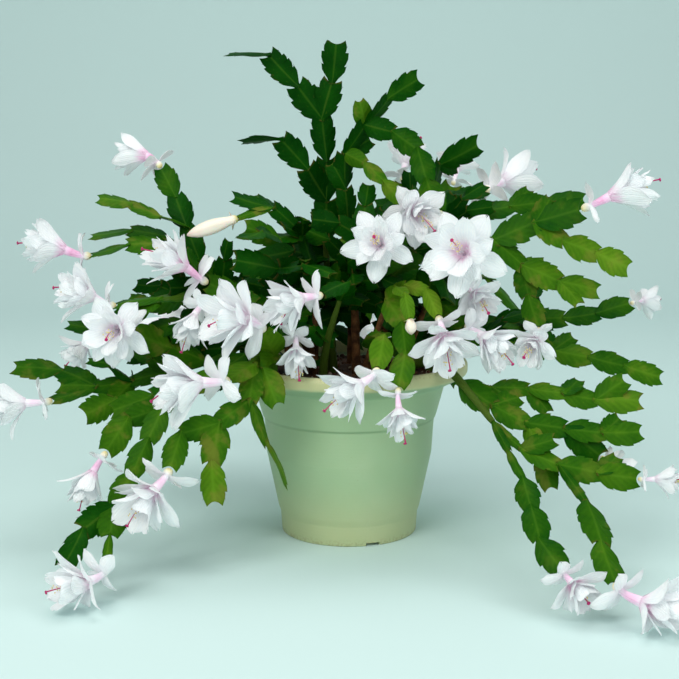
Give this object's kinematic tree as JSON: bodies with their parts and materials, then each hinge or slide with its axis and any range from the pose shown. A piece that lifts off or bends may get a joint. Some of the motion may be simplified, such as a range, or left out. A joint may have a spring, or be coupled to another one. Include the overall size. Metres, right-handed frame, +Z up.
{
  "type": "potted christmas cactus",
  "caption": "Christmas cactus in flower: arching and trailing chains of flat toothed segments tipped with white blooms, in a round flared plastic nursery pot with a broad lip.",
  "frame": {"origin": "centre of the pot's flat base", "axes": "+Z up out of the pot, -Y towards the side the picture shows, +X to the right seen from there"},
  "size_m": [0.5767, 0.5086, 0.4117],
  "materials": {
    "pot_plastic": "satin moulded plastic, sage green",
    "soil_peat": null,
    "leaf_green": null,
    "petal_white": null,
    "bud_cream": null
  },
  "bodies": {
    "root": {"bloom_arm_hidden": "petal_white", "bloom_arm_lower": "petal_white", "bloom_arm_mid": "petal_white", "bloom_arm_upper": "petal_white", "bloom_back_arch": "petal_white", "bloom_back_centre": "petal_white", "bloom_back_right": "petal_white", "bloom_centre": "petal_white", "bloom_centre_high": "petal_white", "bloom_centre_left": "petal_white", "bloom_centre_low": "petal_white", "bloom_centre_right": "petal_white", "bloom_face": "petal_white", "bloom_face_low": "petal_white", "bloom_fall_front": "petal_white", "bloom_fall_low": "petal_white", "bloom_fall_upper": "petal_white", "bloom_far_left": "petal_white", "bloom_far_right": "petal_white", "bloom_front_centre": "petal_white", "bloom_front_left": "petal_white", "bloom_front_right": "petal_white", "bloom_left_drop": "petal_white", "bloom_left_edge": "petal_white", "bloom_left_end": "petal_white", "bloom_left_face": "petal_white", "bloom_left_hidden": "petal_white", "bloom_left_mid": "petal_white", "bloom_left_out": "petal_white", "bloom_left_top": "petal_white", "bloom_rear": "petal_white", "bloom_right_back": "petal_white", "bloom_right_drop": "petal_white", "bloom_right_hang": "petal_white", "bloom_right_low": "petal_white", "bud_centre": "bud_cream", "bud_front": "bud_cream", "bud_large": "bud_cream", "pot": "pot_plastic", "soil": "soil_peat", "stem_back_left": "leaf_green", "stem_back_mid": "leaf_green", "stem_back_right": "leaf_green", "stem_front_centre": "leaf_green", "stem_front_left": "leaf_green", "stem_front_right": "leaf_green", "stem_left_front": "leaf_green", "stem_left_high": "leaf_green", "stem_left_low": "leaf_green", "stem_left_mid": "leaf_green", "stem_left_trail": "leaf_green", "stem_left_upper": "leaf_green", "stem_right_high": "leaf_green", "stem_right_low": "leaf_green", "stem_right_mid": "leaf_green", "stem_right_trail": "leaf_green", "stem_tall_centre": "leaf_green", "stem_upper_right": "leaf_green"}
  },
  "joints": []
}
